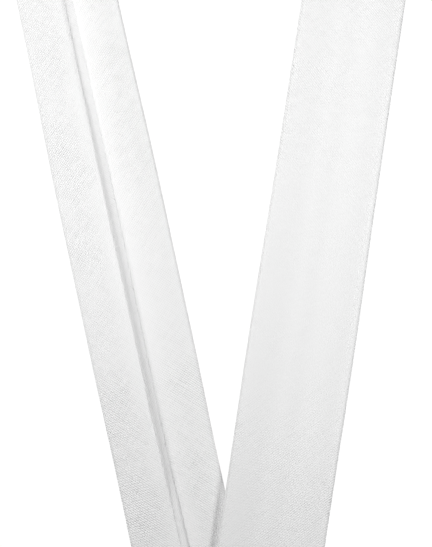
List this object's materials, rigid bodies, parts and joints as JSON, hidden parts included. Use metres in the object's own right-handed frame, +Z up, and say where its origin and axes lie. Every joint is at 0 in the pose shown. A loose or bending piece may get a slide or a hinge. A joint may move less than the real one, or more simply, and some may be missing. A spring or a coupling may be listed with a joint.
{
  "type": "folded length of single-fold bias tape",
  "caption": "Cut length of white cotton bias tape with both raw edges pressed in to the back, turned over into a narrow V that shows its slit side and its plain face.",
  "frame": {"origin": "on the table, under the middle of the whole length's box", "axes": "+Z up from the table, +Y from the turn to the cut ends, so the V opens along +Y, and +X from the slit-side arm to the face-up arm"},
  "size_m": [0.086, 0.1776, 0.0058],
  "materials": {
    "cotton": "matt plain-weave cotton, cut on the bias and pressed"
  },
  "bodies": {
    "root": {"bias_tape": "cotton"}
  },
  "joints": []
}
